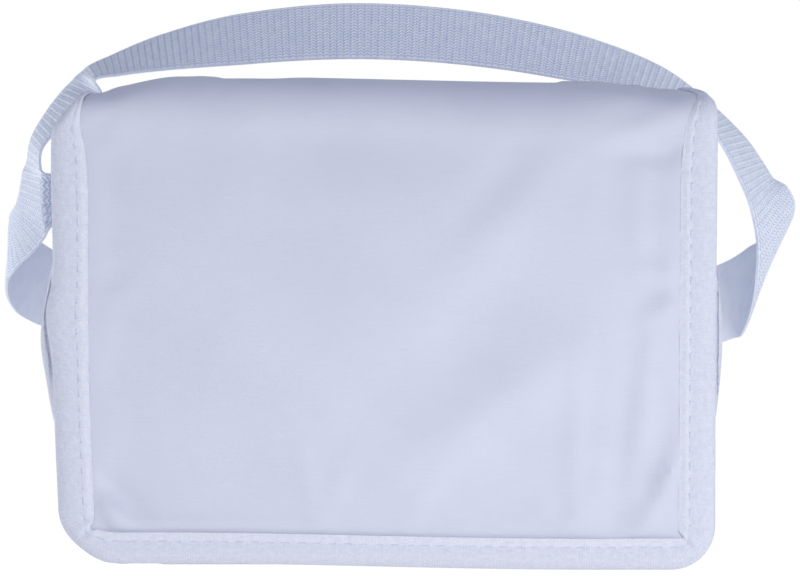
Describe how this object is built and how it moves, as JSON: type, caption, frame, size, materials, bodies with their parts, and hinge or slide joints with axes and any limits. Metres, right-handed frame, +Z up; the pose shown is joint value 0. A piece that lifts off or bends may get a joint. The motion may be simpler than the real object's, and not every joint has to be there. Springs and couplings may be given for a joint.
{
  "type": "cooler bag",
  "caption": "Soft insulated cooler bag with a full front flap, padded side gussets, taped edges and a webbing carry strap arching over the lid.",
  "frame": {"origin": "middle of the flat base, on the surface the bag stands on", "axes": "+X across the bag to the right as seen from the flap, +Y from the flap to the back, +Z up"},
  "size_m": [0.2673, 0.1432, 0.1822],
  "materials": {
    "cloth": "smooth fine-woven polyester over thin foam, soft sheen",
    "tape": "matte folded binding tape, stitched",
    "webbing": "matte chevron-woven webbing"
  },
  "bodies": {
    "root": {"wrap_panel": "cloth", "gusset_left": "cloth", "gusset_right": "cloth", "seam_tape_left": "tape", "seam_tape_right": "tape", "flap_tape": "tape", "strap": "webbing"}
  },
  "joints": []
}
